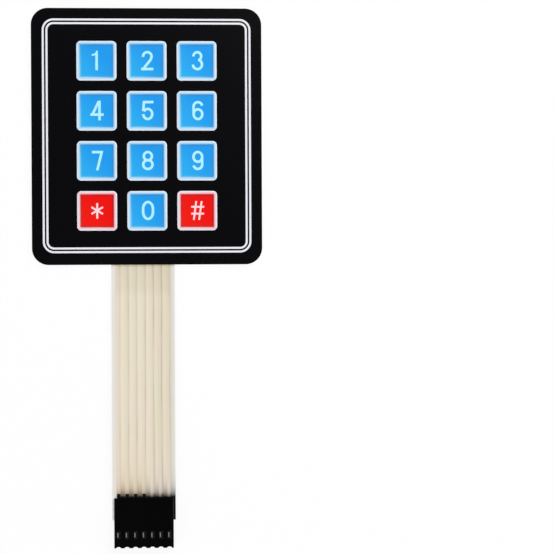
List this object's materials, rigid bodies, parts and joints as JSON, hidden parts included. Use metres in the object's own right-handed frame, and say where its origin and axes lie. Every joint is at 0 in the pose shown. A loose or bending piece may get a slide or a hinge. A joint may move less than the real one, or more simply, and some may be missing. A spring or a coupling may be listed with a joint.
{
  "type": "matrix keypad",
  "caption": "Thin membrane keypad with printed, rim-embossed keys, bonded circuit films, a peel-off adhesive back and a flat film tail that ends in a socket connector.",
  "frame": {"origin": "middle of the pad's back, on the outer face of the release liner", "axes": "+Z out of the printed front, +Y towards the top row of keys, and the tail leaves towards -Y; key 1 lies towards -X and +Y"},
  "size_m": [0.069, 0.162, 0.0025],
  "materials": {
    "liner": "smooth siliconed paper",
    "adhesive": "acrylic adhesive",
    "circuit_film": "cream polyester film",
    "spacer_film": "double-sided polyester film",
    "silver_ink": "printed silver",
    "carbon_ink": "printed carbon",
    "overlay_film": "fine-grained polyester film",
    "black_ink": "screen print, satin",
    "white_ink": "screen print, satin",
    "blue_ink": "screen print, satin",
    "red_ink": "screen print, satin",
    "housing": "moulded black nylon",
    "contact": "tin plated"
  },
  "bodies": {
    "root": {"release_liner": "liner", "rear_adhesive": "adhesive", "lower_circuit_film": "circuit_film", "column_trace_1": "silver_ink", "column_trace_2": "silver_ink", "column_trace_3": "silver_ink", "spacer": "spacer_film", "row_trace_1": "silver_ink", "row_trace_2": "silver_ink", "row_trace_3": "silver_ink", "row_trace_4": "silver_ink", "upper_circuit_film": "circuit_film", "overlay_adhesive": "adhesive", "overlay_film": "overlay_film", "black_print": "black_ink", "border_print": "white_ink", "key_frame_print": "white_ink", "blue_print": "blue_ink", "red_print": "red_ink", "column_fingers": "carbon_ink", "row_fingers": "carbon_ink", "connector_housing": "housing", "contact_1": "contact", "contact_2": "contact", "contact_3": "contact", "contact_4": "contact", "contact_5": "contact", "contact_6": "contact", "contact_7": "contact"}
  },
  "joints": []
}
